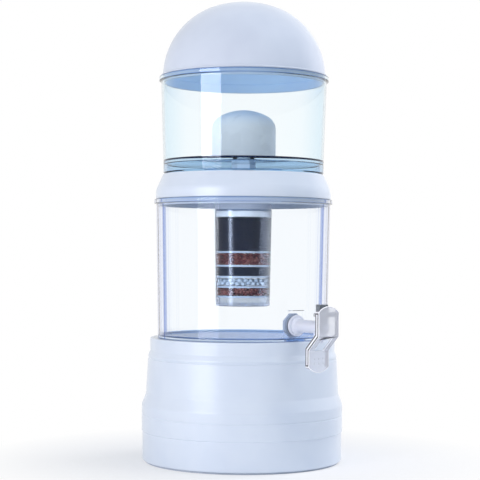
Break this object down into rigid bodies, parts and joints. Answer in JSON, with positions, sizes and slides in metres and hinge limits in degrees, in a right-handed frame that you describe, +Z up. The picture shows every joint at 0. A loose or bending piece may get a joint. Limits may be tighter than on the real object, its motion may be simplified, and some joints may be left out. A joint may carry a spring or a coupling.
{
  "type": "gravity water filter",
  "caption": "Countertop gravity water filter: clear stacked tanks on a white stand, domed lid, ceramic dome, layered mineral cartridge and a push-lever tap.",
  "frame": {"origin": "on the tanks' shared axis, at the surface that the stand rests on", "axes": "+Z up along the tanks' axis; the tap points towards -Y, turned 37 degrees to +X"},
  "size_m": [0.2998, 0.32, 0.6852],
  "materials": {
    "white_abs": "glossy moulded ABS",
    "clear_tank": "clear moulded SAN with a faint blue tint",
    "clear_cup": "clear moulded styrene",
    "clear_lever": "clear moulded polycarbonate",
    "ceramic": "unglazed fired ceramic",
    "cap_grey": "blue-grey moulded plastic",
    "rubber": "silicone rubber",
    "cotton": "white filter wadding",
    "carbon": "granular black carbon",
    "clay_balls": "red-brown fired clay balls",
    "mineral_sand": "dark mineral sand",
    "quartz": "pale quartz pebbles",
    "screen": "white moulded screens",
    "tap_white": "glossy moulded plastic",
    "tap_grey": "grey moulded plastic",
    "nut_plastic": "moulded plastic, seen blue through the tank",
    "steel": "stainless steel"
  },
  "bodies": {
    "stand": {"base_stand": "white_abs", "base_foot_ring": "rubber"},
    "lower_vessel": {"lower_tank": "clear_tank", "tap_body": "tap_white", "tap_nut": "nut_plastic", "tap_inner_washer": "rubber", "tap_outer_washer": "rubber", "tap_head": "tap_grey", "tap_spring": "steel"},
    "collar_ring": {"collar": "white_abs"},
    "upper_vessel": {"upper_tank": "clear_tank", "ceramic_dome": "ceramic", "dome_base_cap": "white_abs", "dome_seal_washer": "rubber", "dome_lock_nut": "white_abs"},
    "cartridge": {"cartridge_cup": "clear_cup", "cartridge_cap": "cap_grey", "cartridge_seal": "rubber", "cotton_pad": "cotton", "carbon_bed": "carbon", "mineral_balls_upper": "clay_balls", "mineral_sand": "mineral_sand", "silica_stones": "quartz", "mineral_balls_lower": "clay_balls", "divider_screens": "screen"},
    "lid": {"dome_lid": "white_abs"},
    "tap_valve": {"tap_plunger": "tap_white", "tap_valve_seal": "rubber"},
    "tap_handle": {"tap_lever": "clear_lever", "tap_lever_pin": "steel"}
  },
  "joints": [
    {"name": "lower_tank_lift", "type": "slide", "parent": "stand", "child": "lower_vessel", "axis": [0, 0, 1], "range_m": [0, 0.08]},
    {"name": "collar_lift", "type": "slide", "parent": "lower_vessel", "child": "collar_ring", "axis": [0, 0, 1], "range_m": [0, 0.06]},
    {"name": "upper_tank_lift", "type": "slide", "parent": "collar_ring", "child": "upper_vessel", "axis": [0, 0, 1], "range_m": [0, 0.2]},
    {"name": "lid_lift", "type": "slide", "parent": "upper_vessel", "child": "lid", "axis": [0, 0, 1], "range_m": [0, 0.12]},
    {"name": "cartridge_turn", "type": "hinge", "parent": "upper_vessel", "child": "cartridge", "pos_m": [0, 0, 0.4], "axis": [0, 0, 1], "range_deg": [-1080, 0]},
    {"name": "lever_push", "type": "hinge", "parent": "lower_vessel", "child": "tap_handle", "pos_m": [0.11435, -0.15174, 0.225], "axis": [0.7986, 0.6018, 0], "range_deg": [0, 12], "stiffness_Nm_per_rad": 0.5, "springref_deg": -5.73},
    {"name": "valve_slide", "type": "slide", "parent": "lower_vessel", "child": "tap_valve", "axis": [-0.6018, 0.7986, 0], "range_m": [0, 0.0038], "deforming": ["tap_spring"]}
  ],
  "couplings": [
    {"joint": "valve_slide", "follows": "lever_push", "m_per_rad": 0.018}
  ]
}
